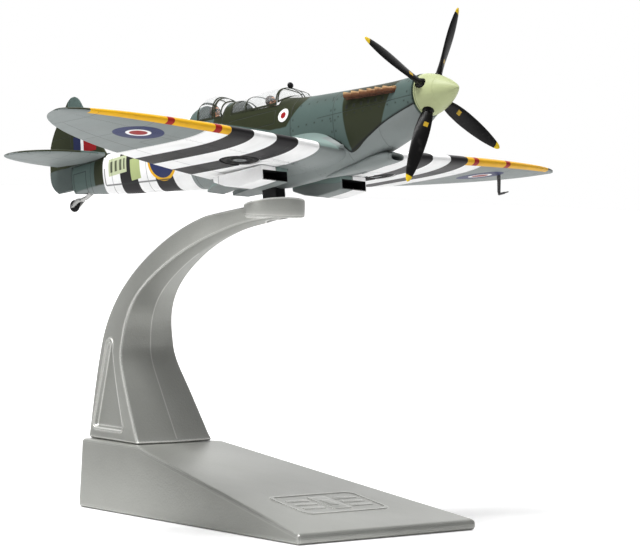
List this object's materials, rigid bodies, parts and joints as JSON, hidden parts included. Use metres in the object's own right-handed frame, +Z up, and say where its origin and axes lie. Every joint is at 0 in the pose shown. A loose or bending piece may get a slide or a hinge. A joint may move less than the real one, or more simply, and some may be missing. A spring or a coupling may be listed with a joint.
{
  "type": "display model aircraft on stand",
  "caption": "Display model of a two-seat propeller warbird on a curved arm stand with a wedge base; the propeller and tail wheel turn and the model lifts off its peg.",
  "frame": {"origin": "middle of the base's length and width, on the flat underside of the base", "axes": "+X towards the low front of the base and the nose, +Y to port, +Z up"},
  "size_m": [0.1319, 0.1542, 0.117],
  "materials": {
    "stand_silver": "satin silver paint",
    "screw_steel": "plain",
    "black_plastic": "semi-matt",
    "camouflage_paint": "matt green and grey camouflage",
    "underside_paint": "matt grey with black and white bands",
    "leg_silver": "satin silver",
    "tyre_black": "matt",
    "spinner_sky": "satin pale green paint",
    "blade_black": "satin with yellow tips",
    "bush_brass": "plain",
    "exhaust_rust": "rust brown paint",
    "clear_plastic": "clear with painted frames",
    "cockpit_green": "matt",
    "figure_paint": "matt hand-painted"
  },
  "bodies": {
    "stand": {"base": "stand_silver", "arm": "stand_silver", "arm_screws": "screw_steel", "peg": "black_plastic", "peg_screw": "screw_steel"},
    "aircraft": {"fuselage_port": "camouflage_paint", "fuselage_starboard": "camouflage_paint", "lower_casting": "underside_paint", "casting_screws": "screw_steel", "fin_and_rudder": "camouflage_paint", "tailplane_port": "underside_paint", "tailplane_starboard": "underside_paint", "tail_wheel_leg": "leg_silver", "tail_wheel_axle": "screw_steel", "shaft_bush": "bush_brass", "exhaust_port": "exhaust_rust", "exhaust_starboard": "exhaust_rust", "intake_scoop": "underside_paint", "radiator_port": "underside_paint", "radiator_starboard": "underside_paint", "radiator_core_port": "black_plastic", "radiator_core_starboard": "black_plastic", "main_wheel_port": "tyre_black", "main_wheel_starboard": "tyre_black", "gear_door_port": "underside_paint", "gear_door_starboard": "underside_paint", "pitot_tube": "leg_silver", "windscreen_front": "clear_plastic", "rear_view_mirror": "black_plastic", "canopy_front": "clear_plastic", "windscreen_rear": "clear_plastic", "canopy_rear": "clear_plastic", "cockpit_tub_front": "cockpit_green", "cockpit_tub_rear": "cockpit_green", "seat_front": "cockpit_green", "seat_rear": "cockpit_green", "instrument_panel_front": "black_plastic", "instrument_panel_rear": "black_plastic", "pilot_front": "figure_paint", "pilot_rear": "figure_paint"},
    "propeller_group": {"spinner": "spinner_sky", "spinner_backplate": "spinner_sky", "propeller": "blade_black", "propeller_shaft": "screw_steel", "shaft_retainer": "screw_steel"},
    "tail_wheel_group": {"tail_wheel": "tyre_black"}
  },
  "joints": [
    {"name": "lift_off", "type": "slide", "parent": "stand", "child": "aircraft", "axis": [-0.2019, 0.0846, 0.9758], "range_m": [0, 0.02]},
    {"name": "propeller_spin", "type": "hinge", "parent": "aircraft", "child": "propeller_group", "pos_m": [0.0518, 0, 0.0978], "axis": [0.9774, -0.0461, 0.2062], "continuous": true},
    {"name": "tail_wheel_roll", "type": "hinge", "parent": "aircraft", "child": "tail_wheel_group", "pos_m": [-0.06226, 0.00505, 0.06926], "axis": [0.0624, 0.9953, -0.0734], "continuous": true}
  ]
}
